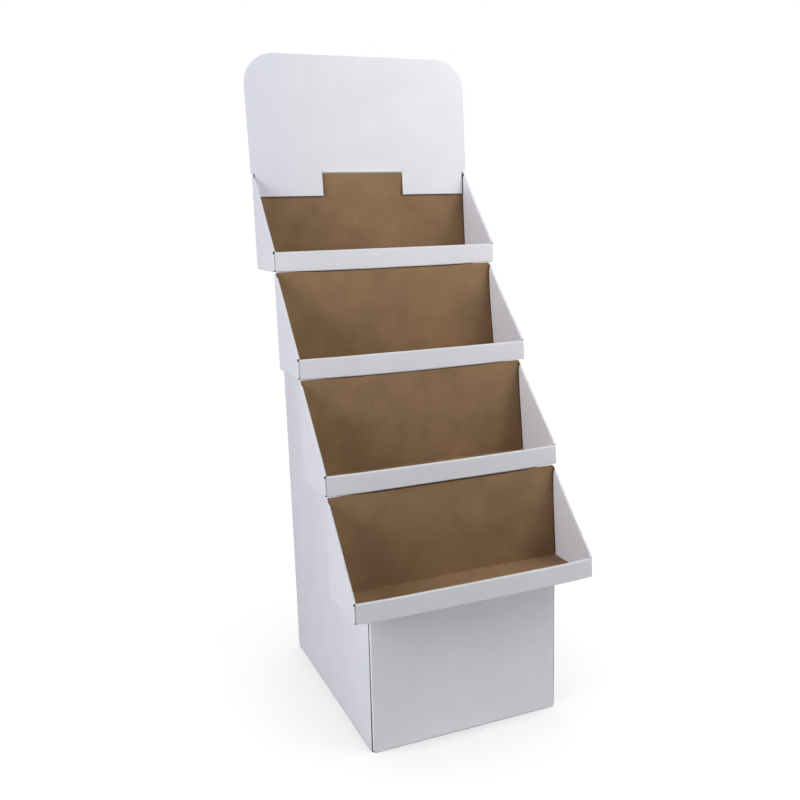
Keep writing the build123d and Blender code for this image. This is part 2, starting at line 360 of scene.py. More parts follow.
class Nodes:
    """Builds a material's node tree with short calls."""

    def __init__(self, name: str) -> None:
        """Makes an empty material.

        Args:
            name: Name of the material.
        """
        self.material = bpy.data.materials.new(name)
        self.material.use_nodes = True
        self.tree = self.material.node_tree
        self.tree.nodes.clear()

    def add(self, kind: str, inputs: dict | None = None, **settings: object) -> bpy.types.Node:
        """Adds a node, sets its properties and fills its inputs with values or links.

        Args:
            kind: Blender's name for the node's type.
            inputs: Input name or number to a value or to an output socket.
            settings: Properties of the node.

        Returns:
            The new node.
        """
        node = self.tree.nodes.new(kind)
        for name, value in settings.items():
            setattr(node, name, value)
        for key, value in (inputs or {}).items():
            if isinstance(value, Socket):
                self.tree.links.new(value, node.inputs[key])
            else:
                node.inputs[key].default_value = value
        return node

    def math(self, operation: str, a: Socket | float, b: Socket | float = 0.0) -> Socket:
        """Works out one sum and returns its output."""
        return self.add("ShaderNodeMath", {0: a, 1: b}, operation=operation).outputs[0]

    def noise(self, place: Socket, scale: float, **inputs: float) -> Socket:
        """Adds a noise pattern of so many cells a metre and returns its value."""
        return self.add("ShaderNodeTexNoise", {"Vector": place, "Scale": scale, **inputs}).outputs[0]

    def ramp(self, value: Socket, low: float, high: float,
             to_low: float = 0.0, to_high: float = 1.0) -> Socket:
        """Maps a value from one range to another, held at both ends, and returns the output."""
        inputs = {"Value": value, "From Min": low, "From Max": high, "To Min": to_low, "To Max": to_high}
        return self.add("ShaderNodeMapRange", inputs).outputs["Result"]

    def blend(self, share: Socket | float, a: Socket | Colour, b: Socket | Colour) -> Socket:
        """Mixes two colours.

        Args:
            share: How much of the second colour there is.
            a: First colour.
            b: Second colour.

        Returns:
            The mixed colour's output.
        """
        node = self.add("ShaderNodeMix", data_type="RGBA")
        for socket, value in zip((node.inputs[0], node.inputs[6], node.inputs[7]), (share, a, b)):
            if isinstance(value, Socket):
                self.tree.links.new(value, socket)
            else:
                socket.default_value = value
        return node.outputs[2]

    def finish(self, shader: bpy.types.Node) -> bpy.types.Material:
        """Ends the tree with a shader and returns the material."""
        out = self.add("ShaderNodeOutputMaterial")
        self.tree.links.new(shader.outputs[0], out.inputs["Surface"])
        return self.material


@dataclass(frozen=True)
class BoardFinish:
    """The three faces of one sheet of board.

    The flutes show through a face by its show. The header's left part shows them more, by left_show, and is
    a little darker and bluer by left_tint; 0 leaves that out. Lower rim values darken the rim as painted
    shade, where a cut edge lies in a shadowed gap or recess.
    """

    name: str
    flutes: Flutes
    liner_colour: Colour = (0.80, 0.80, 0.835, 1.0)
    kraft_colour: Colour = (0.292, 0.179, 0.094, 1.0)
    pitch: float = 6.5
    liner_show: float = 0.10
    kraft_show: float = 0.32
    rim_painted_shade: float = 1.0
    left_show: float = 0.0
    left_tint: Colour = (0.95, 0.95, 1.03, 1.0)

    def _crossing(self, nodes: Nodes) -> tuple[Socket, Socket]:
        """Finds which way the flutes run.

        Args:
            nodes: The material's nodes.

        Returns:
            The coordinate that crosses the flutes on every face, and the plain coordinates.
        """
        place = nodes.add("ShaderNodeTexCoord").outputs["Object"]
        parts = nodes.add("ShaderNodeSeparateXYZ", {0: place})
        normal = nodes.add("ShaderNodeNewGeometry").outputs["True Normal"]
        facing = nodes.add("ShaderNodeSeparateXYZ", {0: normal})
        side = nodes.math("GREATER_THAN", nodes.math("ABSOLUTE", facing.outputs["X"]), 0.5)
        on_side = nodes.math("MULTIPLY", parts.outputs[self.flutes.value], side)
        elsewhere = nodes.math("MULTIPLY", parts.outputs["X"], nodes.math("SUBTRACT", 1.0, side))
        return nodes.math("ADD", on_side, elsewhere), place

    def _ribs(self, nodes: Nodes, crossing: Socket, place: Socket) -> Socket:
        """Draws the flutes that show through a face, stronger in some places.

        Args:
            nodes: The material's nodes.
            crossing: The coordinate that crosses the flutes.
            place: The plain coordinates.

        Returns:
            The height of the flutes, from 0 to 1.
        """
        wander = nodes.math("MULTIPLY", nodes.noise(place, 6.0, Detail=2.0), 0.002)
        angle = nodes.math("MULTIPLY", nodes.math("ADD", crossing, wander), tau / (self.pitch * MM))
        wave = nodes.math("MULTIPLY", nodes.math("ADD", nodes.math("SINE", angle), 1.0), 0.5)
        patch = nodes.noise(place, 3.5, Detail=3.0)
        return nodes.math("MULTIPLY", wave, nodes.ramp(patch, 0.35, 0.7, 0.25, 1.0))

    def liner(self) -> bpy.types.Material:
        """Makes the white coated liner: smooth paper, faint flutes, soft mottling and few scuffs.

        Returns:
            The material.
        """
        nodes = Nodes(f"{self.name}_liner")
        crossing, place = self._crossing(nodes)
        ribs = self._ribs(nodes, crossing, place)
        mottle = nodes.noise(place, 9.0, Detail=5.0, Roughness=0.6)
        grain = nodes.noise(place, 700.0, Detail=3.0)
        scuff = nodes.noise(place, 38.0, Detail=8.0, Roughness=0.7)
        light, shade, worn = (toned(self.liner_colour, factor) for factor in (1.0, 0.955, 0.9))
        colour = nodes.blend(nodes.ramp(mottle, 0.35, 0.75), light, shade)
        colour = nodes.blend(nodes.ramp(scuff, 0.66, 0.8, 0.0, 0.35), colour, worn)
        show = self.liner_show
        if self.left_show:
            # The left part ends between these places, in metres from the middle
            across = nodes.add("ShaderNodeSeparateXYZ", {0: place}).outputs["X"]
            across = nodes.math("ADD", across, nodes.math("MULTIPLY", mottle, 0.1))
            tinted = tuple(c * t for c, t in zip(light, self.left_tint))
            colour = nodes.blend(nodes.ramp(across, -0.19, -0.13, 1.0, 0.0), colour, tinted)
            show = nodes.ramp(across, -0.1, 0.06, self.left_show, self.liner_show)
        colour = nodes.blend(nodes.math("MULTIPLY", ribs, show), colour, worn)
        height = nodes.math("ADD", nodes.math("MULTIPLY", ribs, 0.05), nodes.math("MULTIPLY", grain, 0.012))
        bump = nodes.add("ShaderNodeBump", {"Height": height, "Strength": 0.35, "Distance": 0.001})
        shader = nodes.add("ShaderNodeBsdfPrincipled", {
            "Base Color": colour, "Roughness": nodes.ramp(mottle, 0.3, 0.8, 0.5, 0.62),
            "Specular IOR Level": 0.4, "Normal": bump.outputs[0],
        })
        return nodes.finish(shader)

    def kraft(self) -> bpy.types.Material:
        """Makes the brown kraft side: fibres, specks, and flutes that show as light and dark lines.

        Returns:
            The material.
        """
        nodes = Nodes(f"{self.name}_kraft")
        crossing, place = self._crossing(nodes)
        ribs = self._ribs(nodes, crossing, place)
        cloud = nodes.noise(place, 14.0, Detail=6.0, Roughness=0.62)
        fibre = nodes.noise(place, 260.0, Detail=6.0, Roughness=0.7)
        speck = nodes.noise(place, 900.0, Detail=2.0)
        dark, pale, deep = (toned(self.kraft_colour, factor) for factor in (0.82, 1.16, 0.6))
        colour = nodes.blend(nodes.ramp(cloud, 0.3, 0.72), pale, dark)
        colour = nodes.blend(nodes.ramp(fibre, 0.45, 0.8, 0.0, 0.4), colour, pale)
        colour = nodes.blend(nodes.ramp(speck, 0.64, 0.74, 0.0, 0.5), colour, deep)
        colour = nodes.blend(nodes.math("MULTIPLY", ribs, self.kraft_show), colour, dark)
        height = nodes.math("ADD", nodes.math("MULTIPLY", ribs, 0.06), nodes.math("MULTIPLY", fibre, 0.03))
        bump = nodes.add("ShaderNodeBump", {"Height": height, "Strength": 0.5, "Distance": 0.001})
        shader = nodes.add("ShaderNodeBsdfPrincipled", {
            "Base Color": colour, "Roughness": 0.86, "Specular IOR Level": 0.25, "Normal": bump.outputs[0],
        })
        return nodes.finish(shader)

    def rim(self) -> bpy.types.Material:
        """Makes the cut edge: two liners with the wavy flute between them, and painted shade in the hollow
        channels.

        Returns:
            The material.
        """
        nodes = Nodes(f"{self.name}_rim")
        drawn = nodes.add("ShaderNodeUVMap", uv_map="rim").outputs[0]
        parts = nodes.add("ShaderNodeSeparateXYZ", {0: drawn})
        run, across = parts.outputs["X"], parts.outputs["Y"]
        wave = nodes.math("MULTIPLY", nodes.math("SINE", nodes.math("MULTIPLY", run, tau)), 0.36)
        middle = nodes.math("SUBTRACT", across, 0.5)
        off_wave = nodes.math("ABSOLUTE", nodes.math("SUBTRACT", middle, wave))
        flute = nodes.ramp(off_wave, 0.08, 0.16, 1.0, 0.0)
        skin = nodes.ramp(nodes.math("ABSOLUTE", middle), 0.36, 0.42)
        paper = nodes.math("MAXIMUM", flute, skin)
        grit = nodes.noise(nodes.add("ShaderNodeTexCoord").outputs["Object"], 500.0)
        # The third tone is painted shade in the flute's hollow channels
        tones = ((0.52, 0.495, 0.46), (0.72, 0.69, 0.65), (0.22, 0.20, 0.18))
        # Painted shade: all three rim tones are darkened by the rim's factor where the cut edge lies in a
        # shadowed gap or recess
        dull, bright, hollow_shade = (toned(tone, self.rim_painted_shade) for tone in tones)
        colour = nodes.blend(paper, hollow_shade, nodes.blend(grit, dull, bright))
        colour = nodes.blend(nodes.ramp(across, 0.12, 0.2, 1.0, 0.0), colour, self.liner_colour)
        shader = nodes.add("ShaderNodeBsdfPrincipled", {
            "Base Color": colour, "Roughness": 0.9, "Specular IOR Level": 0.2,
        })
        return nodes.finish(shader)


def hand_in(sheet: Sheet, node: str, finish: BoardFinish) -> None:
    """Thickens and dresses a folded sheet and puts it on the frame in place of its solid.

    Args:
        sheet: The folded sheet.
        node: Name of the solid that it stands for.
        finish: Its materials.
    """
    sheet.thicken()
    sheet.dress(finish)
    piece = sheet.piece
    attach(piece, "root")
    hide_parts(node)
    log.info("%s: %d faces", piece.name, len(piece.data.polygons))


@dataclass(frozen=True)
class Slack:
    """How far a loaded tray's board stands off true.

    The right side wall leans in by lean at its top and stands out by splay at its foot. The lip bulges
    forward by bulge and droops by droop in its middle. The back panel comes forward by crown at its top, and
    is higher by stretch at its two ends and lower by half of that between them.
    """

    lean: float
    splay: float
    crown: float = 0.0
    stretch: float = 0.0
    droop: float = 0.0
    bulge: float = 7.0


@dataclass
class Tray:
    """One tray: floor, rolled front lip, back panel and double sides folded from one sheet.

    Places in it are measured from its back plane and its floor. The beak is the side wall's low front end
    above the lip, and the tip its high back end.
    """

    node: str
    back: float
    level: float
    seed: float
    slack: Slack
    half: float = 320.0
    depth: float = TRAY_DEPTH
    height: float = TRAY_HEIGHT
    lip_height: float = 50.5
    lip_thickness: float = 9.0
    lip_half: float = 316.0
    beak_setback: float = 1.0
    beak_gap: float = 0.5
    standoff: float = 4.5
    slope_foot: float = 53.0
    tip: float = 6.0
    tip_slant: float = 24.0
    tip_normal: Place = (0.0, 0.964, 0.266)
    roll_radius: float = 1.75
    flap_length: float = 60.0
    flap_foot: float = 4.0
    flap_drop: float = 4.5
    glue_length: float = 36.0
    glue_taper: float = 14.0
    glue_relief: float = 4.0
    lean_start: float = 150.0
    bulge_reach: float = 60.0
    droop_reach: float = 1.5
    stretch_start: float = 200.0
    stretch_reach: float = 60.0
    # The trays' rims are darkened as painted shade, for the shadowed gaps at the lips' ends and under the
    # lips
    finish: BoardFinish = BoardFinish("tray", Flutes.LEVEL_ON_SIDES, rim_painted_shade=0.16)

    @property
    def front(self) -> float:
        """Front face of the lip."""
        return -self.depth

    @property
    def side_front(self) -> float:
        """Where the side wall ends behind the lip, and its corner flap starts to fold."""
        return self.front + BOARD + SEAT_GAP + FOLD_REACH

    @property
    def floor_back(self) -> float:
        """Where the floor ends and the back panel starts to fold."""
        return -(BOARD + SEAT_GAP) - FOLD_REACH

    @property
    def wall(self) -> float:
        """Middle surface of the outer side wall."""
        return self.half - BOARD / 2

    @property
    def fold(self) -> float:
        """Where the floor ends and the side wall starts to fold."""
        return self.half - FOLD_REACH

    @property
    def flap_top(self) -> float:
        """Top of the corner flap behind the lip."""
        return self.lip_height - self.flap_drop

    @property
    def beak_level(self) -> float:
        """Foot of the beak, just above the lip."""
        return self.lip_height + self.beak_gap

    @property
    def glue_ends(self) -> tuple[float, float]:
        """Foot and top of the glue flap, where it folds off the side wall."""
        return (FOLD_REACH + self.glue_relief, self.height - self.glue_relief)

    def place(self, x: float, y: float, z: float) -> Place:
        """Turns a place from the tray's back plane and floor to the stand's frame."""
        return (x, self.back + y, self.level + z)

    def _in(self, test: TrayTest) -> Test:
        """Makes a test in the stand's frame from one on places in the tray."""
        return lambda p: test(p.x, p.y - self.back, p.z - self.level)

    def _at(self, body: Sheet, test: TrayTest) -> None:
        """Selects open edges by a test on places in the tray."""
        body.pick_edge(self._in(test))

    def _at_wall(self, body: Sheet, depth: float, foot: float, top: float) -> None:
        """Selects the outer side wall's open upright edges at a depth, from a foot to a top."""
        low, high = foot - 0.1, top + 0.1
        self._at(body, lambda x, y, z: near(x, self.wall) and near(y, depth) and low < z < high)

    def sheet(self) -> Sheet:
        """Draws the right half of the tray's sheet and mirrors it.

        Returns:
            The folded sheet, still in edit mode.
        """
        foot = BOARD / 2
        corner = self.place(self.fold, self.floor_back, foot)
        body = Sheet(self.node, self.place(0, self.side_front, foot), corner)
        self._lip(body)
        self._back(body)
        self._wall(body)
        self._roll(body)
        self._trim_inner_wall(body)
        self._flaps(body)
        body.mirror()
        return body

    def _lip(self, body: Sheet) -> None:
        """Folds the lip up from the floor, over and down inside.

        Args:
            body: The tray's sheet.
        """
        rise = self.lip_height - BOARD / 2 - FOLD_RADIUS
        inner = self.front + self.lip_thickness - BOARD / 2 - FOLD_RADIUS
        outer = self.front + FOLD_REACH
        body.cut(self.place(self.lip_half, 0, 0), (1, 0, 0))
        self._at(body, lambda x, y, z: near(y, self.side_front) and x < self.lip_half + 0.1)
        body.grow((0, outer - self.side_front, 0))
        body.curl(self.place(0, outer, FOLD_REACH), (1, 0, 0), -90)
        body.grow((0, 0, rise - FOLD_REACH))
        body.curl(self.place(0, outer, rise), (1, 0, 0), -90)
        body.grow((0, inner - outer, 0))
        body.curl(self.place(0, inner, rise), (1, 0, 0), -90)
        body.grow((0, 0, BOARD + SEAT_GAP - rise))

    def _back(self, body: Sheet) -> None:
        """Folds the back panel up from the floor.

        Args:
            body: The tray's sheet.
        """
        self._at(body, lambda x, y, z: near(y, self.floor_back) and z < BOARD)
        body.curl(self.place(0, self.floor_back, FOLD_REACH), (1, 0, 0), 90)
        body.grow((0, 0, self.height - FOLD_REACH))

    def _wall(self, body: Sheet) -> None:
        """Folds the outer side wall up, with its beak in front and the strip that the glue flap folds from.

        Args:
            body: The tray's sheet.
        """
        ahead, behind = self.side_front - 0.1, self.floor_back + 0.1
        self._at(body, lambda x, y, z: near(x, self.fold) and z < BOARD and ahead < y < behind)
        body.curl(self.place(self.fold, 0, FOLD_REACH), (0, 1, 0), -90)
        glue_foot, glue_top = self.glue_ends
        levels = (FOLD_REACH, self.flap_foot, glue_foot, self.flap_top,
                  self.beak_level, glue_top, self.height)
        for low, high in zip(levels, levels[1:]):
            body.grow((0, 0, high - low))
        self._at_wall(body, self.floor_back, FOLD_REACH, self.height)
        body.grow((0, -FOLD_REACH - self.floor_back, 0))
        self._at_wall(body, self.side_front, self.beak_level, self.height)
        body.grow((0, self.front + self.beak_setback - self.side_front, 0))

    def _roll(self, body: Sheet) -> None:
        """Cuts the outer wall to its slope, less the roll's height, rolls it over and drops the inner wall.

        Args:
            body: The tray's sheet.
        """
        beak = self.front + self.beak_setback
        run, rise = -self.tip - beak, self.height - self.slope_foot
        length = hypot(run, rise)
        up_front = (0.0, -rise / length, run / length)
        sink = self.roll_radius + BOARD / 2
        start = (beak - up_front[1] * sink, self.slope_foot - up_front[2] * sink)
        on_wall = self._in(lambda x, y, z: near(x, self.wall, 0.5) and z > FOLD_REACH)
        body.cut(self.place(0, *start), up_front, Clear.AHEAD, on_wall)

        def on_slope(x: float, y: float, z: float) -> bool:
            """Says whether a corner lies on the cut of the wall."""
            off = (y - start[0]) * up_front[1] + (z - start[1]) * up_front[2]
            return near(x, self.wall) and near(off, 0)

        self._at(body, on_slope)
        centre = self.place(self.wall - self.roll_radius, *start)
        body.curl(centre, (0, run / length, rise / length), -180, 6)
        body.grow((0, 0, -self.height))

    def _trim_inner_wall(self, body: Sheet) -> None:
        """Cuts the inner wall free of the floor, the lip and the back panel.

        Args:
            body: The tray's sheet.
        """
        inner = self.wall - 2 * self.roll_radius
        on_inner = self._in(lambda x, y, z: near(x, inner, 0.5))
        top_inner = self._in(lambda x, y, z: inner - 0.5 < x < inner + self.roll_radius and z > BOARD)
        rear = -(2 * BOARD + SEAT_GAP) - self.standoff
        behind_lip = self.front + self.lip_thickness + SEAT_GAP
        body.cut(self.place(0, 0, BOARD + SEAT_GAP), (0, 0, 1), Clear.BEHIND, on_inner)
        body.cut(self.place(0, behind_lip, 0), (0, 1, 0), Clear.NOTHING, on_inner)
        body.cut(self.place(0, 0, self.beak_level), (0, 0, 1), Clear.NOTHING, on_inner)
        body.remove(self._in(lambda x, y, z: near(x, inner, 0.5) and y < behind_lip and z < self.beak_level))
        body.cut(self.place(0, rear, 0), (0, 1, 0), Clear.AHEAD, top_inner)
        slant = self.place(0, rear, self.height - self.tip_slant)
        body.cut(slant, self.tip_normal, Clear.AHEAD, top_inner)

    def _flaps(self, body: Sheet) -> None:
        """Folds the corner flap in behind the lip, and the glue flap behind the back panel.

        Args:
            body: The tray's sheet.
        """
        self._at_wall(body, self.side_front, self.flap_foot, self.flap_top)
        body.curl(self.place(self.fold, self.side_front, 0), (0, 0, 1), -90)
        body.grow((self.fold - self.half - self.flap_length + FOLD_REACH, 0, 0))

        rear = -FOLD_REACH
        glue_foot, glue_top = self.glue_ends
        self._at_wall(body, rear, glue_foot, glue_top)
        body.curl(self.place(self.fold, rear, 0), (0, 0, 1), 90)
        body.grow((-self.glue_length, 0, 0))
        flap = self._in(lambda x, y, z: y > rear + BOARD / 2 and x < self.fold)
        slant = hypot(self.glue_length, self.glue_taper)
        tilt = (self.glue_taper / slant, self.glue_length / slant)
        body.cut(self.place(self.fold, 0, glue_top), (-tilt[0], 0, tilt[1]), Clear.AHEAD, flap)
        body.cut(self.place(self.fold, 0, glue_foot), (-tilt[0], 0, -tilt[1]), Clear.AHEAD, flap)

    def _settle(self, p: Vector) -> Vector:
        """Moves a corner of the sheet by the tray's slack.

        Args:
            p: The corner's place in the stand's frame.

        Returns:
            Its place under the load.
        """
        slack = self.slack
        front = self.back - self.depth
        outward = unit((p.x - self.lean_start) / (self.half - self.lean_start))
        high = max(p.z - self.level, 0.0) / self.height
        # The splay ends at two thirds of the wall's height
        sideways = outward * (slack.splay * max(1.0 - 1.5 * high, 0.0) - slack.lean * high)

        # The bulge takes in the front of the floor, the droop only the lip's outer skin
        across = p.x / self.lip_half
        deep = unit((front + self.lip_thickness + self.bulge_reach - p.y) / self.bulge_reach)
        forward = slack.bulge * max(1.0 - abs(across) ** 4, 0.0) * deep
        skin = unit((front + FOLD_REACH - p.y) / self.droop_reach)
        low = max(1.0 - (p.z - self.level) / self.lip_height, 0.0)
        up = -slack.droop * max(1.0 - across ** 2, 0.0) * skin * low

        # The back panel stretches in its upper half only
        if near(p.y, self.back - SEAT_GAP - 1.5 * BOARD, 2.0):
            forward += slack.crown * crown_share(p.x) * high * high
            if abs(p.x) < self.fold + 0.3:
                end = unit((abs(p.x) - self.stretch_start) / self.stretch_reach)
                up = slack.stretch * (1.5 * end - 0.5) * max(2.0 * high - 1.0, 0.0)
        return Vector((p.x + sideways, p.y - forward, p.z + up))

    def build(self) -> None:
        """Builds the tray, dresses it and puts it on the frame."""
        body = self.sheet()
        body.divide(20.0)
        body.face_out(self._in(lambda x, y, z: z < BOARD), (0, 0, -1))
        body.bow(0.5, 160.0, self.seed)
        body.reshape(self._settle)
        hand_in(body, self.node, self.finish)


@dataclass
class Header:
    """The header card: two legs in front of the top tray's back panel and a tab behind it.

    Heights on the card are measured up its face from the level of the top tray's tips. The tab starts at the
    notch, comes down by its rows, and folds back over the back panel just above it.
    """

    node: str = "header_panel"
    tip_level: float = TOP_TIP
    leg_back: float = TOP_BACK - 2 * (BOARD + SEAT_GAP)
    hang: float = TOP_BACK - BOARD / 2
    lean: float = 4.0
    half: float = 320.0
    rise: float = 309.0
    corner: float = 83.0
    leg_inside: float = 120.0
    leg_outside: float = 310.0
    leg_length: float = 60.0
    notch: float = 14.0
    slit: float = 0.8
    tab_length: float = 70.0
    tab_rows: tuple[float, float] = (10.5, 7.5)
    tab_shelf: float = 2.3
    tab_fold: float = 1.6
    tab_front: float = 1.0
    crown: float = 4.2
    flare: float = 2.4
    shift: float = 3.5
    left_stretch: float = 3.0
    finish: BoardFinish = BoardFinish("header", Flutes.UPRIGHT_ON_SIDES, left_show=0.55)

    def on_card(self, x: float, height: float) -> Place:
        """Gives a place on the card's middle surface.

        Args:
            x: Distance to the right of the middle.
            height: Distance up the card from the level of the tray's tips.

        Returns:
            The place, in the stand's frame.
        """
        lean = radians(self.lean)
        back = self.leg_back - BOARD / 2 * cos(lean) + height * sin(lean)
        return (x, back, self.tip_level + BOARD / 2 * sin(lean) + height * cos(lean))

    def build(self) -> None:
        """Builds the card, dresses it and puts it on the frame."""
        lean = radians(self.lean)
        foot = self.on_card(0, self.notch)
        card = Sheet(self.node, foot, (self.half, foot[1], foot[2] + self.rise - self.notch))
        bpy.ops.mesh.select_all(action="SELECT")
        bpy.ops.transform.rotate(value=lean, orient_axis="X", center_override=metres(foot))
        across = (0, sin(lean), cos(lean))

        def high(p: Vector) -> float:
            """Gives a corner's distance up the card."""
            return (p.y - foot[1]) * across[1] + (p.z - foot[2]) * across[2] + self.notch

        # Round corner at the top
        bpy.ops.mesh.select_mode(type="VERT")
        grid = bmesh.from_edit_mesh(card.piece.data)
        for vert in grid.verts:
            vert.select_set(near(vert.co.x / MM, self.half) and high(vert.co / MM) > self.notch + 1)
        bmesh.update_edit_mesh(card.piece.data)
        bpy.ops.mesh.bevel(offset=self.corner * MM, segments=14, affect="VERTICES")

        # Legs below the shoulders
        for x in (self.leg_inside - self.slit, self.leg_inside, self.leg_outside):
            card.cut((x, 0, 0), (1, 0, 0))
        card.pick_edge(lambda p: near(high(p), self.notch) and p.x > self.leg_inside - 0.1)
        card.grow(tuple(c * (SEAT_GAP - self.notch) for c in across))
        card.pick_edge(lambda p: near(high(p), SEAT_GAP) and p.x < self.leg_outside + 0.1)
        card.grow(tuple(c * (-SEAT_GAP - self.leg_length) for c in across))

        # Middle tab
        card.pick_edge(lambda p: near(high(p), self.notch) and p.x < self.leg_inside - self.slit + 0.1)
        self._fold_tab(card)
        card.mirror()
        card.divide(16.0)
        card.face_out(lambda p: high(p) > self.notch, (0, -1, 0))
        card.bow(0.9, 220.0, 5.0)
        card.reshape(self._settle)
        hand_in(card, self.node, self.finish)

    def _fold_tab(self, card: Sheet) -> None:
        """Folds the tab back over the top tray's back panel and down behind it.

        Args:
            card: The card, with the tab's edge at the notch selected.
        """
        shelf = self.tip_level + self.tab_shelf
        heights = (self.notch, *self.tab_rows, self.tab_shelf + self.tab_fold)
        rows = [self.on_card(0, height) for height in heights]
        for upper, lower in zip(rows, rows[1:]):
            card.grow((0, lower[1] - upper[1], lower[2] - upper[2]))
        front = rows[-1][1]
        card.curl((0, front + self.tab_fold, shelf + self.tab_fold), (1, 0, 0), 90)
        card.grow((0, self.hang - front - 2 * self.tab_fold, 0))
        card.curl((0, self.hang - self.tab_fold, shelf - self.tab_fold), (1, 0, 0), -90)
        card.grow((0, 0, -self.tab_length - self.tab_shelf + self.tab_fold))

    def _settle(self, p: Vector) -> Vector:
        """Lets the tab follow the crowned back panel, and the card stand a little to the left.

        Args:
            p: A corner's place in the stand's frame.

        Returns:
            Its place on the loaded stand.
        """
        low = p.z - self.tip_level
        share = unit((self.notch - low) / (self.notch - self.tab_shelf))
        forward = 0.0
        if abs(p.x) < self.leg_inside - self.slit / 2:
            face = self.leg_back - self.tab_front
            behind = unit((p.y - face) / (self.hang - face))
            held = self.crown * behind * min(1.0 + low / TRAY_HEIGHT, 1.0) ** 2 + self.flare * (1.0 - behind)
            forward = held * crown_share(p.x) * share * share * (3.0 - 2.0 * share)
        sideways = self.left_stretch * (1.0 - share) * min(p.x / self.half, 0.0) - self.shift * share
        return Vector((p.x + sideways, p.y - forward, p.z))


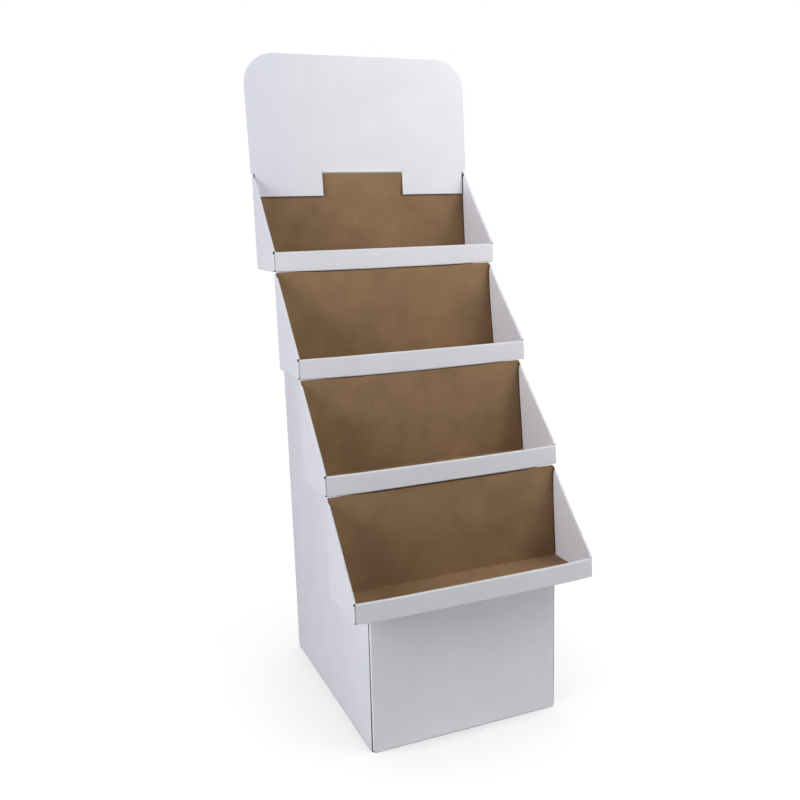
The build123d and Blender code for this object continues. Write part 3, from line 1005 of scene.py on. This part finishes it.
@dataclass
class Body:
    """The stepped body: a shell of left side, back and right side, and the front panel of the base.

    The foot of the base stands kick forward, and wider by its splays. The front panel's face curves back by
    round_depth next to its side folds, and the shell's front edges are drawn back by edge_draw behind them.
    """

    half: float = 258.0
    back: float = TOP_BACK + 12.5
    bottom_level: float = BOTTOM_LEVEL
    base_front: float = TOP_BACK - 3 * RUN - TRAY_DEPTH + 74.8
    edge_setback: float = 0.5
    flap: float = 60.0
    flange: float = 34.0
    flange_end: float = 6.0
    flange_foot: float = 0.5
    side_flap_gap: float = 40.0
    shelf_lap: float = 24.0
    kick: float = 8.0
    splay_right: float = 3.5
    splay_left: float = 4.6
    round_width: float = 16.0
    round_depth: float = 4.5
    edge_draw: float = 7.0
    edge_reach: float = 30.0
    # The body's rims are darkened as painted shade, for the shadowed gaps along its folds
    finish: BoardFinish = BoardFinish("body", Flutes.UPRIGHT_ON_SIDES, rim_painted_shade=0.35)
    inner_nodes: tuple[str, ...] = (
        "riser_upper", "riser_middle", "riser_lower", "centre_divider", "cross_divider_rear",
        "cross_divider_middle", "cross_divider_front", "floor_pad",
    )

    @property
    def fold(self) -> float:
        """Where the shell's back ends and its side starts to fold."""
        return self.half - FOLD_REACH

    @property
    def wall(self) -> float:
        """Middle surface of the shell's side."""
        return self.half - BOARD / 2

    @property
    def rear(self) -> float:
        """Middle surface of the shell's back."""
        return self.back - BOARD / 2

    @property
    def rear_fold(self) -> float:
        """Where the shell's side ends at its back fold."""
        return self.back - FOLD_REACH

    def build_shell(self) -> None:
        """Builds the U-shaped shell with its stepped sides and the flaps under it."""
        top = self.bottom_level + 3 * RISE - SEAT_GAP
        shell = Sheet("body_shell", (0, self.rear, FOLD_REACH), (self.fold, self.rear, top))
        shell.pick_edge(lambda p: near(p.x, self.fold))
        shell.curl((self.fold, self.rear_fold, 0), (0, 0, 1), -90)
        shell.grow((0, self.base_front + self.edge_setback - self.rear_fold, 0))
        self._step(shell)
        self._foot_flaps(shell)
        shell.mirror()
        shell.divide(24.0)
        shell.face_out(lambda p: near(p.y, self.rear), (0, 1, 0))
        shell.bow(0.8, 320.0, 11.0, lambda p: p.z < BOARD)
        shell.reshape(self._draw_back)
        hand_in(shell, "body_shell", self.finish)

    def _step(self, shell: Sheet) -> None:
        """Cuts the side to its stepped profile.

        Args:
            shell: The shell's right half.
        """
        def on_wall(p: Vector) -> bool:
            """Says whether a face's middle is on the side."""
            return near(p.x, self.wall, 0.5) and p.y < self.rear_fold

        steps = [(TOP_BACK - k * RUN + SEAT_GAP, self.bottom_level + (3 - k) * RISE - SEAT_GAP)
                 for k in (1, 2, 3)]
        for riser, shelf in steps:
            shell.cut((0, riser, 0), (0, 1, 0), within=on_wall)
            shell.cut((0, 0, shelf), (0, 0, 1), within=on_wall)
        for riser, shelf in steps:
            shell.remove(lambda p, y=riser, z=shelf: near(p.x, self.wall, 0.5) and p.y < y and p.z > z)

    def _foot_flaps(self, shell: Sheet) -> None:
        """Folds the flaps in under the foot, with slanted ends.

        Args:
            shell: The shell's right half.
        """
        fold, rear_fold = self.fold, self.rear_fold
        flap_front = self.base_front + FOLD_REACH + self.flange_end
        side_rear = rear_fold - self.side_flap_gap
        shell.pick_edge(lambda p: near(p.z, FOLD_REACH) and near(p.y, self.rear))
        shell.curl((0, rear_fold, FOLD_REACH), (1, 0, 0), -90)
        shell.grow((0, FOLD_REACH - self.flap, 0))
        shell.cut((fold - self.flange_end, rear_fold, 0), (1, 1, 0), Clear.AHEAD,
                  lambda p: p.z < BOARD and p.y < rear_fold)
        shell.cut((0, flap_front, 0), (0, 1, 0),
                  within=lambda p: near(p.x, self.wall, 0.5) and p.z < self.bottom_level)
        shell.pick_edge(lambda p: near(p.z, FOLD_REACH) and near(p.x, self.wall)
                        and flap_front - 0.1 < p.y < rear_fold + 0.1)
        shell.curl((fold, 0, FOLD_REACH), (0, 1, 0), 90)
        shell.grow((FOLD_REACH - self.flap, 0, 0))

        def side_flap(p: Vector) -> bool:
            """Says whether a face's middle is on the flap under the side."""
            return p.z < BOARD and self.half - self.flap < p.x < fold and p.y < side_rear

        shell.cut((fold, rear_fold, 0), (-1, 1, 0), Clear.AHEAD, side_flap)
        shell.cut((fold, flap_front, 0), (-1, -1, 0), Clear.AHEAD, side_flap)

    def build_front(self) -> None:
        """Builds the base's front panel with its side flanges, bottom flap and the bottom tray's shelf."""
        fold = self.half - BOARD - SEAT_GAP - FOLD_REACH
        face = self.base_front + BOARD / 2
        top = self.bottom_level - SEAT_GAP
        shelf_back = TOP_BACK - 3 * RUN + SEAT_GAP + self.shelf_lap
        panel = Sheet("front_panel", (0, face, FOLD_REACH), (fold, face, top - FOLD_REACH))
        for z in (FOLD_REACH + self.flange_foot, top - self.flange_end):
            panel.cut((0, 0, z), (0, 0, 1))
        ends = (FOLD_REACH + self.flange_foot - 0.1, top - self.flange_end + 0.1)
        panel.pick_edge(lambda p: near(p.x, fold) and ends[0] < p.z < ends[1])
        panel.curl((fold, self.base_front + FOLD_REACH, 0), (0, 0, 1), 90)
        panel.grow((0, self.flange - FOLD_REACH, 0))
        panel.pick_edge(lambda p: near(p.z, top - FOLD_REACH) and near(p.y, face))
        panel.curl((0, self.base_front + FOLD_REACH, top - FOLD_REACH), (1, 0, 0), -90)
        panel.grow((0, shelf_back - self.base_front - FOLD_REACH, 0))
        panel.pick_edge(lambda p: near(p.z, FOLD_REACH) and near(p.y, face))
        panel.curl((0, self.base_front + FOLD_REACH, FOLD_REACH), (1, 0, 0), 90)
        panel.grow((0, self.flap - FOLD_REACH, 0))
        panel.cut((fold, self.base_front + FOLD_REACH, 0), (1, 1, 0), Clear.AHEAD,
                  lambda p: p.z < BOARD and p.y > self.base_front + FOLD_REACH)
        panel.mirror()
        panel.divide(24.0)
        panel.face_out(lambda p: near(p.y, face), (0, -1, 0))
        panel.bow(0.7, 260.0, 17.0, lambda p: p.z < BOARD)
        panel.reshape(self._round_off)
        hand_in(panel, "front_panel", self.finish)

    def _kick_out(self, p: Vector) -> Vector:
        """Stands the foot of the base a little forward and wider, as the loaded board does.

        Args:
            p: A corner's place in the stand's frame.

        Returns:
            Its place on the loaded stand.
        """
        low = unit(1.0 - p.z / (self.bottom_level - BOARD))
        ahead = unit((self.back - p.y) / (self.back - self.base_front))
        splay = self.splay_right if p.x > 0 else self.splay_left * low
        return Vector((p.x * (1.0 + splay * ahead / self.half), p.y - self.kick * low * ahead, p.z))

    def _draw_back(self, p: Vector) -> Vector:
        """Holds the shell's front edges behind the panel's side folds, and kicks its foot out."""
        share = unit((self.base_front + self.edge_reach - p.y) / self.edge_reach)
        return self._kick_out(Vector((p.x, p.y + self.edge_draw * share, p.z)) if p.z > BOARD else p)

    def _round_off(self, p: Vector) -> Vector:
        """Lets the panel's face curve back a little towards its two side folds, and kicks its foot out.

        Args:
            p: A corner's place in the stand's frame.

        Returns:
            Its place on the loaded stand.
        """
        share = unit((abs(p.x) - self.half + self.round_width) / self.round_width)
        if p.z > BOARD and p.y < self.base_front + FOLD_REACH + BOARD:
            p = Vector((p.x, p.y + self.round_depth * share * share, p.z))
        return self._kick_out(p)

    def dress_inside(self) -> None:
        """Gives the solids inside the body the brown board that they are made of."""
        plain = BoardFinish("inner", Flutes.UPRIGHT_ON_SIDES).kraft()
        for node in self.inner_nodes:
            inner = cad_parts[node]
            inner.data.materials.clear()
            inner.data.materials.append(plain)
            log.info("%s: dressed", node)


@dataclass(frozen=True)
class Lamp:
    """A soft box of the studio, placed in metres."""

    name: str
    place: Place
    aim: Place
    size: float
    power: float
    tint: tuple[float, float, float] = (1.0, 1.0, 1.0)

    def hang(self) -> None:
        """Adds the lamp to the scene."""
        light = bpy.data.lights.new(self.name, "AREA")
        light.shape = "RECTANGLE"
        light.size, light.size_y = self.size, self.size
        light.energy = self.power
        light.color = self.tint
        lamp = bpy.data.objects.new(self.name, light)
        bpy.context.scene.collection.objects.link(lamp)
        lamp.location = self.place
        lamp.rotation_mode = "QUATERNION"
        lamp.rotation_quaternion = (Vector(self.aim) - Vector(self.place)).to_track_quat("-Z", "Y")


@dataclass(frozen=True)
class Studio:
    """The floor, the light and the camera, in metres."""

    lamps: tuple[Lamp, ...] = (
        Lamp("left_box", (-2.898, -0.776, 1.9), (0.0, 0.0, 1.16), 1.5, 70.0, (0.935, 0.945, 1.0)),
        Lamp("right_box", (2.298, -1.928, 2.2), (0.0, 0.0, 1.2), 2.8, 52.0, (0.982, 1.0, 0.987)),
        Lamp("top_box", (0.0, 0.0, 4.2), (0.0, 0.0, 0.0), 3.0, 8.0, (1.0, 0.97, 0.9)),
        Lamp("near_box", (0.8, -1.0, 2.2), (0.0, 0.1, 1.2), 0.8, 10.8),
        Lamp("back_box", (1.2, 3.2, 2.0), (0.0, 0.0, 1.0), 1.6, 34.0, (0.95, 0.96, 1.0)),
    )
    world_strength: float = 0.0
    floor_size: float = 30.0
    floor_white: float = 0.92
    floor_seen: float = 0.14
    shadow_reach: float = 0.4
    eye: Place = (-0.93993, -2.14153, 1.29317)
    turn: tuple[float, float, float] = (75.8436, 1.4, -22.9448)
    lens: float = 40.6116
    shift: float = 0.05

    def lay_floor(self) -> None:
        """Lays the pale floor, which looks white to the camera; it keeps a faint share of the stand's real
        shadow and has a painted contact shadow round the stand's foot.
        """
        bpy.ops.object.select_all(action="DESELECT")
        bpy.ops.mesh.primitive_plane_add(size=self.floor_size, location=(0.0, 0.0, 0.0))
        floor = bpy.context.object
        floor.name = "floor"
        nodes = Nodes("floor_paper")
        matt = nodes.add("ShaderNodeBsdfDiffuse", {"Color": (*[self.floor_white] * 3, 1.0)})
        seen_matt = nodes.add("ShaderNodeBsdfDiffuse", {"Color": (*[self.floor_seen] * 3, 1.0)})
        open_share = nodes.add("ShaderNodeAmbientOcclusion", {"Distance": self.shadow_reach}).outputs["AO"]
        place = nodes.add("ShaderNodeTexCoord").outputs["Object"]
        far = nodes.add("ShaderNodeVectorMath", {0: place}, operation="LENGTH").outputs["Value"]
        # Painted shadow: occlusion dims the floor's glow near the stand's foot and under its edges
        near_base = nodes.ramp(open_share, 0.5, 0.95, 0.83, 1.0)
        under_edge = nodes.ramp(open_share, 0.36, 0.5, 0.1, 1.0)
        shadow = nodes.math("MULTIPLY", near_base, under_edge)
        strength = nodes.math("MULTIPLY", nodes.ramp(far, 0.7, 1.8, 0.93, 1.0), shadow)
        glow = nodes.add("ShaderNodeEmission", {"Color": (1.0, 1.0, 1.0, 1.0), "Strength": strength})
        both = nodes.add("ShaderNodeAddShader", {0: seen_matt.outputs[0], 1: glow.outputs[0]})
        path = nodes.add("ShaderNodeLightPath")
        seen = nodes.add("ShaderNodeMixShader", {
            0: path.outputs["Is Camera Ray"], 1: matt.outputs[0], 2: both.outputs[0],
        })
        floor.data.materials.append(nodes.finish(seen))

    def light(self) -> None:
        """Hangs the lamps and sets the world: no light of its own, and white behind the stand."""
        for lamp in self.lamps:
            lamp.hang()
        world = bpy.data.worlds.new("studio")
        bpy.context.scene.world = world
        world.use_nodes = True
        tree = world.node_tree
        tree.nodes.clear()
        soft, white = (tree.nodes.new("ShaderNodeBackground") for _ in range(2))
        for node, strength in ((soft, self.world_strength), (white, 1.0)):
            node.inputs["Color"].default_value = (1.0, 1.0, 1.0, 1.0)
            node.inputs["Strength"].default_value = strength
        path = tree.nodes.new("ShaderNodeLightPath")
        either = tree.nodes.new("ShaderNodeMath")
        either.operation = "MAXIMUM"
        tree.links.new(path.outputs["Is Camera Ray"], either.inputs[0])
        tree.links.new(path.outputs["Is Glossy Ray"], either.inputs[1])
        mix = tree.nodes.new("ShaderNodeMixShader")
        out = tree.nodes.new("ShaderNodeOutputWorld")
        for source, target in ((either, mix.inputs[0]), (soft, mix.inputs[1]), (white, mix.inputs[2]),
                               (mix, out.inputs[0])):
            tree.links.new(source.outputs[0], target)

    def set_camera(self) -> None:
        """Puts the camera where the photograph was taken from."""
        lens = bpy.data.cameras.new("camera")
        lens.lens = self.lens
        lens.sensor_width = 36.0
        lens.shift_y = self.shift
        lens.clip_end = 100.0
        camera = bpy.data.objects.new("camera", lens)
        bpy.context.scene.collection.objects.link(camera)
        camera.location = self.eye
        camera.rotation_euler = tuple(radians(a) for a in self.turn)
        bpy.context.scene.camera = camera
        bpy.context.scene.view_settings.view_transform = "Standard"


def main() -> None:
    """Builds the stand from its sub-assemblies, then the studio."""
    logging.basicConfig(level=logging.INFO, format="%(name)s %(message)s")
    trays = (
        ("tray_top", Slack(lean=5.0, splay=3.5, crown=4.2, droop=2.3)),
        ("tray_upper", Slack(lean=12.0, splay=6.2, stretch=2.3, droop=2.8)),
        ("tray_lower", Slack(lean=14.0, splay=4.1, stretch=2.3)),
        ("tray_bottom", Slack(lean=8.0, splay=5.4, stretch=2.3)),
    )
    for k, (node, slack) in enumerate(trays):
        Tray(node, TOP_BACK - RUN * k, BOTTOM_LEVEL + RISE * (3 - k), 2.0 + 3.1 * k, slack).build()
    Header().build()
    body = Body()
    body.build_shell()
    body.build_front()
    body.dress_inside()
    studio = Studio()
    studio.lay_floor()
    studio.light()
    studio.set_camera()


if __name__ == "__main__":
    main()
